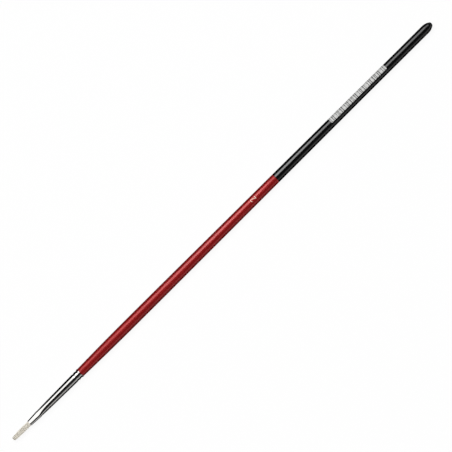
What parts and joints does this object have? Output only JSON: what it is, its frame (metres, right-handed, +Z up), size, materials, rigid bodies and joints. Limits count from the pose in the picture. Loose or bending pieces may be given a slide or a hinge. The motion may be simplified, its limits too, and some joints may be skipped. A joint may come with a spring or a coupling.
{
  "type": "artist brush",
  "caption": "Long-handled flat bristle brush: square-cut tuft in a polished ferrule pressed from round to flat, on a turned wooden handle with a two-colour gloss coat.",
  "frame": {"origin": "on the ground under the middle of the overall length, with the brush lying on its belly", "axes": "+X along the handle's axis from the bristle tip to the butt, +Z up, square to the flat faces of the bristles and of the ferrule's nose"},
  "size_m": [0.3, 0.0056, 0.0057],
  "materials": {
    "handle_wood": "satin",
    "red_lacquer": "gloss",
    "black_lacquer": "gloss",
    "ferrule_metal": "polished",
    "glue": "satin",
    "bristle": "satin"
  },
  "bodies": {
    "root": {"handle_core": "handle_wood", "red_lacquer": "red_lacquer", "black_lacquer": "black_lacquer", "ferrule": "ferrule_metal", "tenon_glue": "glue", "setting_glue": "glue", "bristle_roots": "bristle", "bristle_tuft": "bristle"}
  },
  "joints": []
}
